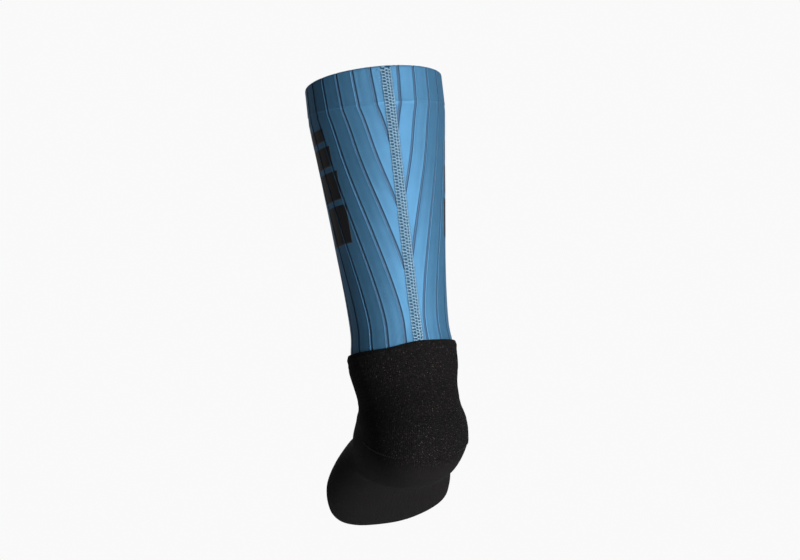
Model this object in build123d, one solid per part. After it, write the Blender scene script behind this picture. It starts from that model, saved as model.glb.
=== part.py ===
from build123d import *
import os
from math import acos, copysign, cos, degrees, radians, sin
from typing import NamedTuple

# One aero cycling sock in its worn shape, for a right foot.
# Frame in mm: +Z up along the leg, toes towards -Y, heel and back seam towards +Y,
# medial (big toe) side +X. The origin is the centre of the leg opening.

# ---- Leg opening and hem ----
CUFF_RADIUS = 48.5            # outside of the cuff
AERO_THICKNESS = 0.8          # ribbed aero fabric
FILM_THICKNESS = 0.12         # adhesive film that holds the turned hem
FILM_ROOM = 0.15              # between the cuff and its turned hem
GRIPPER_THICKNESS = 0.5       # silicone print on the inside of the hem
GRIPPER_DEPTH = 12.0          # along the leg, from the origin down
RIM = (1.5, 5.5)              # height of the top edge at the front and at the back
HEM = (-13.0, -20.5)          # lower edge of the turned hem, front and back
EDGE_DEPTH = 1.7              # the seam threads and the film stop this far below the top edge
FOLD_ROUNDING = 0.48          # of the fold's inner top edge
CUFF_TOP_Z = 12.0             # trimmed back to the rim
CUFF_BOTTOM_Z = -22.0         # the cuff is round and straight down to here

# ---- Upper and its join to the knitted foot ----
COLLAR_TOP_Z = -188.0         # visible edge between the two fabrics
UPPER_BOTTOM_Z = -196.0       # the aero fabric ends under the knitted collar
ALLOWANCE_THICKNESS = 1.1     # knitted edge turned to the inside
OVERLOCK_HEIGHT = 1.6
KNIT_THICKNESS = 2.1
COLLAR_ROUNDING = 0.735       # of the collar's top edges
LAYER_GAP = 0.05              # between layers that lie on each other
SURFACE_GAP = 0.02            # between the upper and the threads and ink on its surface

# ---- Back seam, a four-needle flatlock ----
SEAM_TOP_X = -1.1             # centre line at the rim
SEAM_BOTTOM_X = -6.0          # and at the collar, drifting to the outer side
SEAM_ROWS = 4
SEAM_PITCH = 1.95             # between needle rows
NEEDLE_ROW_WIDTH = 0.7
NEEDLE_ROW_HEIGHT = 0.45
COVER_HEIGHT = 0.25
LOOPER_WIDTH = 7.0            # thread band on the inside
LOOPER_HEIGHT = 0.3

# ---- Plain printed marks on both sides ----
PRINT_HEIGHT = 0.2
PRINT_SPAN = 34.0             # degrees round the leg that each bar covers
PRINT_ENDS = {1: 26.0, -1: 12.0}  # degrees from the side to the first bar's rear end
PRINT_DRIFT = 4.0             # degrees that each bar lies further back than the last
PRINT_TOP_Z = -30.0
PRINT_BAR_HEIGHTS = (9.0, 14.0, 20.0, 27.0)
PRINT_BAR_GAP = 4.0

# ---- Knitted foot ----
SIDE_ANGLE = 8.0              # degrees below mid section where the instep ends
ZONE_GAP = 0.2                # degrees between neighbouring zones
GORE_LENGTH = 54.0            # degrees round the heel that each gore line runs
LINK_SEAM_ENDS = (18.0, 162.0)  # degrees round the toes of the closing seam
RIDGE_WIDTH = 1.6
RIDGE_HEIGHT = 0.7
RIDGE_ROOT = 0.6              # how deep a linked seam sits in the knit

SECTION_POINTS = 24           # on each section curve
STRIP_POINTS = 4              # on a narrow strip's curve
REFINE_STEPS = 3              # sections added to each span between two stations
REACH = 90.0                  # half length of the cutting prisms, beyond every surface


class Station(NamedTuple):
    """One flat section: (y, z) at its front and back, and its half width along X."""
    front: tuple
    back: tuple
    half: float
    shift: float = 0.0        # of its middle, along X
    square: float = 2.0       # 2 is an ellipse, more is squarer
    egg: float = 0.0          # how much narrower the front is


def level(z, front_y, back_y, half):
    """A level section of the leg."""
    return Station((front_y, z), (back_y, z), half)


def sloping(heights):
    """A section of the round cuff between a front and a back height."""
    front_z, back_z = heights
    return Station((-CUFF_RADIUS, front_z), (CUFF_RADIUS, back_z), CUFF_RADIUS)


UNDER_RIM = (RIM[0] - EDGE_DEPTH, RIM[1] - EDGE_DEPTH)
CALF = (
    level(CUFF_BOTTOM_Z, -CUFF_RADIUS, CUFF_RADIUS, CUFF_RADIUS),
    level(-60, -46.5, 45.0, 44.3),
    level(-105, -43.5, 39.7, 39.7),
    level(-145, -41.5, 35.7, 36.0),
    level(-172, -40.5, 34.2, 34.6),
    level(-186, -40.8, 34.8, 35.9),
    level(UPPER_BOTTOM_Z, -41.0, 34.9, 36.0),
)
CUT_EDGE = (
    CALF[-1],
    level(UPPER_BOTTOM_Z - OVERLOCK_HEIGHT, -41.0, 34.9, 36.0),
)
COLLAR = (
    Station((-43.5, COLLAR_TOP_Z), (37.2, COLLAR_TOP_Z - 1), 38.4),
    Station((-43.8, -198.5), (37.4, -201), 38.2),
)
ANKLE = (
    COLLAR[-1],
    Station((-46, -206), (40, -216), 36.0),
    Station((-51, -212), (45, -227), 35.1, -0.7),
    Station((-57.5, -217.5), (48.5, -236), 35.2, -1.3),
)
HEEL = (
    Station((-57.8, -217.8), (48.7, -236.6), 35.2, -1.3),
    Station((-61, -219.5), (53, -250), 36.6, -1.5, 2.25),
    Station((-65.5, -221.7), (51, -267), 37.0, -1, 2.4),
    Station((-73, -225.3), (34, -280), 36.4, 1.0, 2.2),
    Station((-84, -230), (3, -285), 35.0, 2.2, 2.1, 0.05),
)
GORE = HEEL[2]
ARCH = (
    HEEL[-1],
    Station((-98, -236), (-35, -278.5), 38.0, 1.5, 2.3, 0.08),
    Station((-116, -245), (-75, -283), 42.9, 1.1, 2.4, 0.08),
    Station((-134, -255), (-112, -293), 46.3, 0.3, 2.4, 0.06),
    Station((-154, -266), (-144, -300), 45.0, -1.5, 2.4, 0.05),
)
TOES = (
    ARCH[-1],
    Station((-176, -277), (-172, -304), 37.5, 0, 2.4),
    Station((-193, -285.5), (-191, -304), 26.5, 2.5, 2.3),
    Station((-203, -292), (-202, -300.5), 13.0, 5, 2.2),
)
LINK_SEAM = Station((-186, -282), (-183, -304.3), 31.2, 1.5, 2.35)


# ---- Sections between the stations ----
def blended(values, share):
    """A smooth curve through four neighbouring values, between the middle two."""
    before, start, end, after = values
    leave = (end - before) / 2
    arrive = (after - start) / 2
    rest = 1 - share
    return (
        start * rest * rest * (1 + 2 * share)
        + end * share * share * (3 - 2 * share)
        + leave * share * rest * rest
        - arrive * share * share * rest
    )


def between(four, share):
    """The section at a share of the way between the middle two of four stations."""
    numbers = [(*s.front, *s.back, s.half, s.shift, s.square, s.egg) for s in four]
    mixed = [blended(values, share) for values in zip(*numbers)]
    return Station((mixed[0], mixed[1]), (mixed[2], mixed[3]), *mixed[4:])


def refined(stations, low, high):
    """The sections from stations[low] to stations[high], with more in each span."""
    sections = []
    last = len(stations) - 1
    for index in range(low, high):
        four = [stations[min(max(index + step, 0), last)] for step in (-1, 0, 1, 2)]
        for step in range(REFINE_STEPS + 1):
            sections.append(between(four, step / (REFINE_STEPS + 1)))
    sections.append(stations[high])
    return sections


LEG = refined(CALF, 0, len(CALF) - 1)


def leg_at(z):
    """The level section of the leg at one height."""
    if z >= LEG[0].front[1]:
        return level(z, -CUFF_RADIUS, CUFF_RADIUS, CUFF_RADIUS)
    for upper, lower in zip(LEG, LEG[1:]):
        top_z, bottom_z = upper.front[1], lower.front[1]
        if bottom_z <= z <= top_z:
            share = (top_z - z) / (top_z - bottom_z)
            front_y = upper.front[0] + (lower.front[0] - upper.front[0]) * share
            back_y = upper.back[0] + (lower.back[0] - upper.back[0]) * share
            return level(z, front_y, back_y, upper.half + (lower.half - upper.half) * share)
    raise ValueError(z)


def leg_between(top_z, bottom_z):
    """The sections of the leg from one height down to another."""
    inner = [section for section in LEG if bottom_z < section.front[1] < top_z]
    return [leg_at(top_z), *inner, leg_at(bottom_z)]


# ---- Section curves and the solids through them ----
def curve_points(station, inset, start, end, steps=SECTION_POINTS):
    """Points on one station's curve between two angles, moved inwards by inset."""
    front = Vector(station.shift, *station.front)
    back = Vector(station.shift, *station.back)
    middle = (front + back) / 2
    rise = (front - back) / 2
    depth = rise.normalized() * (rise.length - inset)
    half = station.half - inset
    power = 2 / station.square
    points = []
    for step in range(steps + 1):
        angle = radians(start + (end - start) * step / steps)
        across = copysign(abs(cos(angle)) ** power, cos(angle))
        along = copysign(abs(sin(angle)) ** power, sin(angle))
        sideways = Vector(half * across * (1 - station.egg * along), 0, 0)
        points.append(middle + sideways + depth * along)
    return points


def closed_curve(station, inset):
    """The whole curve of one station."""
    points = curve_points(station, inset, 0, 360)[:-1]
    return Wire([Spline(*points, periodic=True)])


def wall_outline(station, layer, start, end, steps=SECTION_POINTS):
    """The outline of a stretch of wall in one station, layer is its two insets."""
    outside = curve_points(station, layer[0], start, end, steps)
    inside = curve_points(station, layer[1], end, start, steps)
    edges = [
        Spline(*outside),
        Line(outside[-1], inside[0]),
        Spline(*inside),
        Line(inside[-1], outside[0]),
    ]
    return Wire(edges)


def solid_through(stations, inset):
    """The solid inside the stations, moved inwards by inset."""
    return Solid.make_loft([closed_curve(station, inset) for station in stations], True)


def tube_through(stations, outer, inner):
    """A wall between two insets of the stations, open at both ends."""
    return solid_through(stations, outer) - solid_through(stations, inner)


def wall_through(stations, start, end, layer=(0.0, KNIT_THICKNESS)):
    """A stretch of wall through the stations, between two angles round the section."""
    return Solid.make_loft([wall_outline(s, layer, start, end) for s in stations], True)


# ---- Cutting prisms ----
def side_prism(corners):
    """A prism along X over (y, z) corners."""
    outline = Polyline(*[(-REACH, y, z) for y, z in corners], close=True)
    return extrude(make_face(outline), amount=2 * REACH, dir=(1, 0, 0))


def slope_ends(front_z, back_z):
    """Ends, beyond every surface, of a line through two heights on the cuff's sides."""
    middle = (front_z + back_z) / 2
    rise = (back_z - front_z) / 2 * REACH / CUFF_RADIUS
    return (-REACH, middle - rise), (REACH, middle + rise)


def slab_between(low, high):
    """The space between two sloping lines, each given by its front and back height."""
    low_front, low_back = slope_ends(*low)
    high_front, high_back = slope_ends(*high)
    return side_prism((low_front, low_back, high_back, high_front))


FOLD_OUTER = CUFF_RADIUS - AERO_THICKNESS - FILM_ROOM
FOLD_INNER = FOLD_OUTER - AERO_THICKNESS
GRIPPER_INNER = FOLD_INNER - GRIPPER_THICKNESS


# ---- Upper ----
def make_upper_panel():
    """The aero fabric tube, from the top edge down to under the collar."""
    return tube_through([sloping(RIM), *LEG], 0, AERO_THICKNESS)


def hem_ring(outer_radius, inner_radius):
    """A round ring about the leg axis, tall enough to be trimmed to the hem."""
    height = CUFF_TOP_Z - CUFF_BOTTOM_Z
    middle = Pos(0, 0, (CUFF_TOP_Z + CUFF_BOTTOM_Z) / 2)
    return middle * (Cylinder(outer_radius, height) - Cylinder(inner_radius, height))


def make_cuff_hem_fold():
    """The top edge of the fabric turned down inside the cuff."""
    fold = hem_ring(FOLD_OUTER, FOLD_INNER) & slab_between(HEM, RIM)
    inner_edge = fold.faces().sort_by(Axis.Z)[-1].edges().sort_by(SortBy.LENGTH)[0]
    return fillet(inner_edge, FOLD_ROUNDING)


def make_hem_bond_film():
    """The adhesive film between the cuff and its turned hem."""
    return hem_ring(FOLD_OUTER + FILM_THICKNESS, FOLD_OUTER) & slab_between(HEM, UNDER_RIM)


def make_silicone_gripper():
    """The silicone band that grips the leg."""
    band = Cylinder(FOLD_INNER, GRIPPER_DEPTH) - Cylinder(GRIPPER_INNER, GRIPPER_DEPTH)
    return Pos(0, 0, -GRIPPER_DEPTH / 2) * band


# ---- Back seam ----
def back_angle(station, x):
    """The angle at the back of a section where its curve crosses x."""
    return 360 - degrees(acos(x / station.half))


def seam_centre(station):
    """Where the seam's centre line crosses a section, along X."""
    share = (RIM[1] - station.back[1]) / (RIM[1] - COLLAR_TOP_Z)
    return SEAM_TOP_X + (SEAM_BOTTOM_X - SEAM_TOP_X) * share


def seam_strip(stations, offset, width, layer):
    """One strip along the seam, offset sideways from its centre line."""
    outlines = []
    for station in stations:
        centre = seam_centre(station) + offset
        start = back_angle(station, centre - width / 2)
        end = back_angle(station, centre + width / 2)
        outlines.append(wall_outline(station, layer, start, end, STRIP_POINTS))
    return Solid.make_loft(outlines, True)


def row_offsets():
    """Sideways places of the needle rows."""
    return [(row - (SEAM_ROWS - 1) / 2) * SEAM_PITCH for row in range(SEAM_ROWS)]


def outside_stations():
    """The sections from under the top edge to the collar."""
    return [sloping(UNDER_RIM), *leg_between(CUFF_BOTTOM_Z, COLLAR_TOP_Z + 1)]


def make_back_seam_needle_threads():
    """The rows of needle stitches, one bead per row."""
    layer = (-NEEDLE_ROW_HEIGHT, -SURFACE_GAP)
    rows = [
        seam_strip(outside_stations(), offset, NEEDLE_ROW_WIDTH, layer)
        for offset in row_offsets()
    ]
    return Compound(children=rows)


def make_back_seam_cover_threads():
    """The cover threads that cross between the needle rows."""
    width = SEAM_PITCH - NEEDLE_ROW_WIDTH - 2 * LAYER_GAP
    layer = (-COVER_HEIGHT, -SURFACE_GAP)
    strips = [
        seam_strip(outside_stations(), offset + SEAM_PITCH / 2, width, layer)
        for offset in row_offsets()[:-1]
    ]
    return Compound(children=strips)


def make_back_seam_looper_threads():
    """The thread band on the inside of the back seam, below the hem."""
    stations = leg_between(CUFF_BOTTOM_Z, COLLAR_TOP_Z + 1)
    layer = (AERO_THICKNESS + SURFACE_GAP, AERO_THICKNESS + LOOPER_HEIGHT)
    return seam_strip(stations, 0, LOOPER_WIDTH, layer)


# ---- Printed marks ----
def print_bars(side):
    """A column of plain bars on one side of the upper, side is +1 or -1 along X."""
    bars = []
    top = PRINT_TOP_Z
    for number, height in enumerate(PRINT_BAR_HEIGHTS):
        far = PRINT_ENDS[side] + number * PRINT_DRIFT
        start = 360 - far if side > 0 else 180 + far - PRINT_SPAN
        end = start + PRINT_SPAN
        stations = leg_between(top, top - height)
        bars.append(wall_through(stations, start, end, (-PRINT_HEIGHT, -SURFACE_GAP)))
        top -= height + PRINT_BAR_GAP
    return Compound(children=bars)


# ---- Join between the upper and the foot ----
def make_join_seam_allowance():
    """The knitted edge turned to the inside of the upper."""
    outer = AERO_THICKNESS + LAYER_GAP
    stations = leg_between(COLLAR_TOP_Z + 1, UPPER_BOTTOM_Z)
    return tube_through(stations, outer, outer + ALLOWANCE_THICKNESS)


def make_join_overlock_thread():
    """The thread that binds the cut edges under the collar."""
    return tube_through(CUT_EDGE, 0, AERO_THICKNESS + LAYER_GAP + ALLOWANCE_THICKNESS)


# ---- Knitted foot ----
def make_ankle_cuff():
    """The thick knitted collar over the edge of the upper, with a rounded edge."""
    collar = tube_through(COLLAR, 0, KNIT_THICKNESS)
    top_edges = collar.faces().sort_by(Axis.Z)[-1].edges()
    return fillet(top_edges, COLLAR_ROUNDING)


def make_ankle_flex_panel():
    """The knit that stretches and folds when the ankle bends."""
    return tube_through(refined(ANKLE, 0, len(ANKLE) - 1), 0, KNIT_THICKNESS)


def front_wall(stations):
    """The wall from side line to side line, over the front of the sections."""
    return wall_through(stations, -SIDE_ANGLE + ZONE_GAP, 180 + SIDE_ANGLE - ZONE_GAP)


def rear_wall(stations):
    """The wall from side line to side line, round the back or under the foot."""
    return wall_through(stations, 180 + SIDE_ANGLE, 360 - SIDE_ANGLE)


def make_toe_cap(sections):
    """The closed toe."""
    *open_part, tip = sections
    inside_tip = tip._replace(
        front=(tip.front[0] + KNIT_THICKNESS, tip.front[1]),
        back=(tip.back[0] + KNIT_THICKNESS, tip.back[1]),
    )
    hollow = solid_through((*open_part, inside_tip), KNIT_THICKNESS)
    return solid_through((*open_part, tip), 0) - hollow


def ridge(station, start, end):
    """A linked seam standing on the knit along one station, sunk into it a little."""
    rise = Vector(0, *station.front) - Vector(0, *station.back)
    across = Vector(0, -rise.Z, rise.Y).normalized() * (RIDGE_WIDTH / 2)
    sides = [
        station._replace(
            front=(station.front[0] + side * across.Y, station.front[1] + side * across.Z),
            back=(station.back[0] + side * across.Y, station.back[1] + side * across.Z),
        )
        for side in (-1, 1)
    ]
    return wall_through(sides, start, end, (-RIDGE_HEIGHT, RIDGE_ROOT))


def make_heel_suture(side):
    """The linked gore line of the heel on one side, side is +1 or -1 along X."""
    if side > 0:
        return ridge(GORE, 360 - SIDE_ANGLE - GORE_LENGTH, 360 - SIDE_ANGLE)
    return ridge(GORE, 180 + SIDE_ANGLE, 180 + SIDE_ANGLE + GORE_LENGTH)


def save(name, shape):
    """Write one node."""
    print(name, len(shape.solids()), "solid(s)", round(shape.volume, 1), "mm3", flush=True)
    export_step(shape, f"parts/{name}.step")


foot_stations = HEEL + ARCH[1:] + TOES[1:]
arch_start = len(HEEL) - 1
toe_start = arch_start + len(ARCH) - 1
heel_sections = refined(foot_stations, 0, arch_start)
arch_sections = refined(foot_stations, arch_start, toe_start)
toe_sections = refined(foot_stations, toe_start, len(foot_stations) - 1)

os.makedirs("parts", exist_ok=True)
save("upper_panel", make_upper_panel())
save("cuff_hem_fold", make_cuff_hem_fold())
save("hem_bond_film", make_hem_bond_film())
save("silicone_gripper", make_silicone_gripper())
save("back_seam_needle_threads", make_back_seam_needle_threads())
save("back_seam_cover_threads", make_back_seam_cover_threads())
save("back_seam_looper_threads", make_back_seam_looper_threads())
save("side_print_medial", print_bars(1))
save("side_print_lateral", print_bars(-1))
save("join_seam_allowance", make_join_seam_allowance())
save("join_overlock_thread", make_join_overlock_thread())
save("ankle_cuff", make_ankle_cuff())
save("ankle_flex_panel", make_ankle_flex_panel())
save("heel_pocket", rear_wall(heel_sections))
save("heel_suture_medial", make_heel_suture(1))
save("heel_suture_lateral", make_heel_suture(-1))
save("instep_panel", front_wall([*heel_sections, *arch_sections[1:]]))
save("sole_cushion", rear_wall(arch_sections))
save("toe_cap", make_toe_cap(toe_sections))
save("toe_link_seam", ridge(LINK_SEAM, *LINK_SEAM_ENDS))
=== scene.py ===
import math

import bmesh
import bpy
import numpy as np
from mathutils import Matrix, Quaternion, Vector, noise


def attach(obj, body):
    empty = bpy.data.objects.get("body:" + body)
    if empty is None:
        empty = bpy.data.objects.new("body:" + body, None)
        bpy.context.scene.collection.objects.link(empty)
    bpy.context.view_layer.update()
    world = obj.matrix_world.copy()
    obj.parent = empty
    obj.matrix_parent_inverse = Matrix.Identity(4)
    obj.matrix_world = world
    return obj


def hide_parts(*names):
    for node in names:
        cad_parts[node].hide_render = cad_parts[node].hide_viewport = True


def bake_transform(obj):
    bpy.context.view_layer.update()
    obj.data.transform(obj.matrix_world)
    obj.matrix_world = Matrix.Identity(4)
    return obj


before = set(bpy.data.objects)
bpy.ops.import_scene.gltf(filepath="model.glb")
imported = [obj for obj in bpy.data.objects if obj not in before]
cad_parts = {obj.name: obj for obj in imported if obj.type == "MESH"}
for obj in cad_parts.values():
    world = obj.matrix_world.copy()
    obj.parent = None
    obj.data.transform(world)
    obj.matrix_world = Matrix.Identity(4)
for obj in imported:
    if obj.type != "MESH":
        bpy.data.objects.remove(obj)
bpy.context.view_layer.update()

# Lengths below are in mm, in the frame of the CAD model; MM turns them into metres.
MM = 0.001

# ---- Driving dimensions, as in the CAD model ----
CUFF_RADIUS = 48.5
AERO_THICKNESS = 0.8
FOLD_INSIDE = 1.75            # from the cuff's outside to the inside of its turned hem
FOLD_OUTSIDE = 0.95
RIM = (1.5, 5.5)              # height of the top edge at the front and at the back
HEM = (-13.0, -20.5)          # lower edge of the turned hem, front and back
CUFF_BOTTOM_Z = -22.0
UPPER_BOTTOM_Z = -195.5
COLLAR_TOP_Z = -188.0
KNIT_THICKNESS = 2.1
SEAM_ENDS = (-1.1, -6.0)      # x of the back seam's middle at the rim and at the collar

# ---- Ribs of the aero fabric ----
SEAM_HALF = 3.7               # half width of the sewn strip
RIB_PITCH = 12.37
FIRST_RIB = 11.3              # from the seam's middle, on the inner side of the leg
RIB_DEPTH = 0.5
RIB_PROFILE = (               # distance from a channel's middle, share of its depth
    (-1.75, 0.0), (-1.35, -0.22), (-1.05, -0.12), (-0.85, 0.5), (-0.62, 1.0),
    (0.0, 0.9), (0.62, 1.0), (0.85, 0.5), (1.05, -0.12), (1.35, -0.22), (1.75, 0.0),
)

RIB_EDGE = RIB_PROFILE[-1][0]  # half width of a channel

# Sections of the worn leg: height, front, back and half width.
LEG = (
    (CUFF_BOTTOM_Z, -48.5, 48.5, 48.5),
    (-60.0, -46.5, 45.0, 44.3),
    (-105.0, -43.5, 39.7, 39.7),
    (-145.0, -41.5, 35.7, 36.0),
    (-172.0, -40.5, 34.2, 34.6),
    (-186.0, -40.8, 34.8, 35.9),
    (-196.0, -41.0, 34.9, 36.0),
)
LEG_STEPS = 24                # finer sections between two of these
# Sections of the foot: front y and z, back y and z, half width, middle, squareness, egg.
FOOT = (
    (-43.5, -188.0, 37.2, -189.0, 38.4, 0, 2, 0),
    (-43.8, -198.5, 37.4, -201.0, 38.2, 0, 2, 0),
    (-46.0, -206.0, 40.0, -216.0, 36.0, 0, 2, 0),
    (-51.0, -212.0, 45.0, -227.0, 35.1, -0.7, 2, 0),
    (-57.6, -217.6, 48.6, -236.3, 35.2, -1.3, 2, 0),
    (-61.0, -219.5, 53.0, -250.0, 36.6, -1.5, 2.25, 0),
    (-65.5, -221.7, 51.0, -267.0, 37.0, -1, 2.4, 0),
    (-73.0, -225.3, 34.0, -280.0, 36.4, 1.0, 2.2, 0),
    (-84.0, -230.0, 3.0, -285.0, 35.0, 2.2, 2.1, 0.05),
    (-98.0, -236.0, -35.0, -278.5, 38.0, 1.5, 2.3, 0.08),
    (-116.0, -245.0, -75.0, -283.0, 42.9, 1.1, 2.4, 0.08),
    (-134.0, -255.0, -112.0, -293.0, 46.3, 0.3, 2.4, 0.06),
    (-154.0, -266.0, -144.0, -300.0, 45.0, -1.5, 2.4, 0.05),
    (-176.0, -277.0, -172.0, -304.0, 37.5, 0, 2.4, 0),
    (-193.0, -285.5, -191.0, -304.0, 26.5, 2.5, 2.3, 0),
    (-203.0, -292.0, -202.0, -300.5, 13.0, 5, 2.2, 0),
)
GORE_PLACE = 6.0              # where along FOOT the heel's gore line lies
LINK_PLACE = 13.6             # and the closing seam over the toes
FOOT_VALUES = 8               # numbers in one of these sections
KNIT_COLUMNS = 300
KNIT_STEP = 0.9               # between rows of the knit mesh
TERRY_HEIGHT = 0.2
COLLAR_RISE = 3.0             # how much higher the collar sits at the back and outer side
COLLAR_EDGE = 1.7             # thickness of the knit at its rolled edge

UV_UNIT = 100                 # mm of cloth in one unit of its UVs
MERGE_DISTANCE = 0.0004       # points nearer to each other than this become one
TINY = 1e-9                   # stands in for a length of nothing, to divide by


# ---- Curves through the sections ----
def smooth_rows(rows, steps):
    """More rows between the given ones; steps is a count, or one count per span."""
    table = np.array(rows, float)
    last = len(table) - 1
    found = []
    for index in range(last):
        before, start, end, after = (
            table[min(max(index + k, 0), last)] for k in (-1, 0, 1, 2)
        )
        leave, arrive = (end - before) / 2, (after - start) / 2
        count = steps if isinstance(steps, int) else steps[index]
        for step in range(count):
            t = step / count
            found.append(
                start * (1 - t) ** 2 * (1 + 2 * t)
                + end * t * t * (3 - 2 * t)
                + leave * t * (1 - t) ** 2
                - arrive * t * t * (1 - t)
            )
    found.append(table[last])
    return np.array(found)


LEG_FINE = smooth_rows(LEG, LEG_STEPS)


def leg_section(z):
    """Front, back and half width of the leg at heights z."""
    down = -np.asarray(z, float)
    return [np.interp(down, -LEG_FINE[:, 0], LEG_FINE[:, k]) for k in (1, 2, 3)]


def leg_xy(z, angle, inset):
    """x and y on the leg at heights z and angles, moved inwards by inset."""
    front, back, half = leg_section(z)
    depth = (back - front) / 2 - inset
    middle = (back + front) / 2
    return (half - inset) * np.cos(angle), middle - depth * np.sin(angle)


def seam_x(z):
    """Middle of the back seam at heights z."""
    share = np.clip((RIM[1] - np.asarray(z)) / (RIM[1] - COLLAR_TOP_Z), 0, 1.05)
    return SEAM_ENDS[0] + (SEAM_ENDS[1] - SEAM_ENDS[0]) * share


ARC_SAMPLES = 720


def arc_table(z):
    """Angles round the leg at one height and their distance from the seam, and the girth."""
    half = leg_section(z)[2]
    start = 2 * math.pi - math.acos(float(seam_x(z)) / float(half))
    angle = np.linspace(start, start + 2 * math.pi, ARC_SAMPLES + 1)
    x, y = leg_xy(z, angle, 0)
    arc = np.concatenate([[0], np.cumsum(np.hypot(np.diff(x), np.diff(y)))])
    return angle, arc, arc[-1]


CUFF_GIRTH = arc_table(CUFF_BOTTOM_Z)[2]
WAIST_Z = -172.0              # where the leg is at its thinnest
WAIST_GIRTH = arc_table(WAIST_Z)[2]


def slope_z(ends, y):
    """Height of a sloping line, given at the front and back of the cuff."""
    return (ends[0] + ends[1]) / 2 + (ends[1] - ends[0]) / 2 * y / CUFF_RADIUS


# ---- Mesh helpers ----
def mesh_object(name, points, faces, uvs=None):
    """A smooth object from points in mm, with one UV for each corner of each face."""
    mesh = bpy.data.meshes.new(name)
    mesh.from_pydata((np.asarray(points) * MM).tolist(), [], faces)
    if uvs is not None:
        layer = mesh.uv_layers.new(name="Cloth")
        layer.data.foreach_set("uv", np.asarray(uvs, np.float32).ravel())
    mesh.polygons.foreach_set("use_smooth", [True] * len(mesh.polygons))
    mesh.update()
    obj = bpy.data.objects.new(name, mesh)
    bpy.context.scene.collection.objects.link(obj)
    return obj


def vertex_values(obj, name, values):
    """A number on each vertex, for the materials."""
    layer = obj.data.attributes.new(name, "FLOAT", "POINT")
    layer.data.foreach_set("value", np.asarray(values, np.float32).ravel())


def grid_faces(rows, columns, close_rows, close_columns):
    """Faces of a grid of points, row by row, closed round either way."""
    faces = []
    for row in range(rows if close_rows else rows - 1):
        above = (row + 1) % rows
        for column in range(columns if close_columns else columns - 1):
            beside = (column + 1) % columns
            faces.append((
                row * columns + column,
                row * columns + beside,
                above * columns + beside,
                above * columns + column,
            ))
    return faces


def grid_uvs(faces, across, along, columns, girth):
    """UVs for a closed grid: across and along in mm on each vertex."""
    uvs = []
    for face in faces:
        for corner in face:
            u = across[corner]
            if corner % columns == 0 and face[0] % columns == columns - 1:
                u += girth
            uvs.append((u / UV_UNIT, along[corner] / UV_UNIT))
    return uvs


def tidy_mesh(obj):
    """Merge what has collapsed together, and point the faces outwards."""
    work = bmesh.new()
    work.from_mesh(obj.data)
    bmesh.ops.remove_doubles(work, verts=work.verts, dist=MERGE_DISTANCE * MM)
    bmesh.ops.dissolve_degenerate(work, edges=work.edges, dist=MERGE_DISTANCE * MM)
    bmesh.ops.recalc_face_normals(work, faces=work.faces)
    work.to_mesh(obj.data)
    work.free()


def unit(vector):
    """A vector's direction, as a vector of length 1."""
    return vector / max(np.linalg.norm(vector), TINY)


STEEP = 0.9                   # share of z in a direction from which it counts as upright
BESIDE_LEVEL = (0.03, 0.05, 1.0)  # what a tube's sides are set out from, when it runs level
BESIDE_STEEP = (0.0, 1.0, 0.05)   # and when it runs upright


def tube(path, radius, sides, points, faces, taper=1.0):
    """Add a closed tube along path, points in mm, to points and faces. Its end rings are
    taper times as wide as the rest."""
    path = np.asarray(path, float)
    count = len(path)
    base = len(points)
    for index in range(count):
        ahead = unit(path[min(index + 1, count - 1)] - path[max(index - 1, 0)])
        beside = BESIDE_LEVEL if abs(ahead[2]) < STEEP else BESIDE_STEEP
        side = unit(np.cross(ahead, beside))
        up = np.cross(side, ahead)
        size = radius * (taper if index in (0, count - 1) else 1.0)
        for turn in range(sides):
            angle = 2 * math.pi * turn / sides
            points.append(path[index] + size * (side * math.cos(angle) + up * math.sin(angle)))
    for index in range(count - 1):
        for turn in range(sides):
            near = base + index * sides
            far = near + sides
            beside = (turn + 1) % sides
            faces.append((near + turn, far + turn, far + beside, near + beside))
    faces.append(tuple(base + turn for turn in range(sides)))
    faces.append(tuple(base + (count - 1) * sides + turn for turn in reversed(range(sides))))


# ---- The ribbed aero upper ----
FLAT_STEPS = 4                # parts that the flat cloth between two channels is cut into
LEAD_SHARES = (0.0, 0.35, 0.7)  # columns between the sewn strip and the first channel
LAST_ROOM = 0.4               # least distance from the last rib column to the strip


def rib_columns():
    """Distances from the seam at the cuff, each with its share of the rib depth."""
    columns = []
    count = int((CUFF_GIRTH - 2 * FIRST_RIB) // RIB_PITCH) + 2
    for rib in range(count):
        middle = FIRST_RIB + rib * RIB_PITCH
        for offset, share in RIB_PROFILE:
            columns.append((middle + offset, share))
        gap = RIB_PITCH - 2 * RIB_EDGE
        for step in range(1, FLAT_STEPS):
            columns.append((middle + RIB_EDGE + gap * step / FLAT_STEPS, 0.0))
    room = FIRST_RIB - RIB_EDGE - SEAM_HALF
    lead = [(SEAM_HALF + room * share, 0.0) for share in LEAD_SHARES]
    end = CUFF_GIRTH - SEAM_HALF - LAST_ROOM
    inside = [column for column in lead + columns if column[0] < end]
    return inside + [(CUFF_GIRTH - SEAM_HALF, 0.0)]


FABRIC_COLUMNS = rib_columns()
SEAM_COLUMNS = (-3.0, -2.0, -1.0, 0.0, 1.0, 2.0, 3.0)
UV_START = 10.0               # where the seam's middle lies in the cloth's own UVs, in mm

# How the turned hem gathers the ribs towards the seam.
HEM_PULL = 1.8
HEM_PULL_Z = -27.0
HEM_PULL_REACH = 21.0


def rib_pull(z, girth):
    """How much nearer to the seam than their even spacing the ribs lie at this height."""
    pull = HEM_PULL * math.exp(-(((z - HEM_PULL_Z) / HEM_PULL_REACH) ** 2))
    if z < WAIST_Z:
        pull += (girth - WAIST_GIRTH) / 2
    return pull


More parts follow.
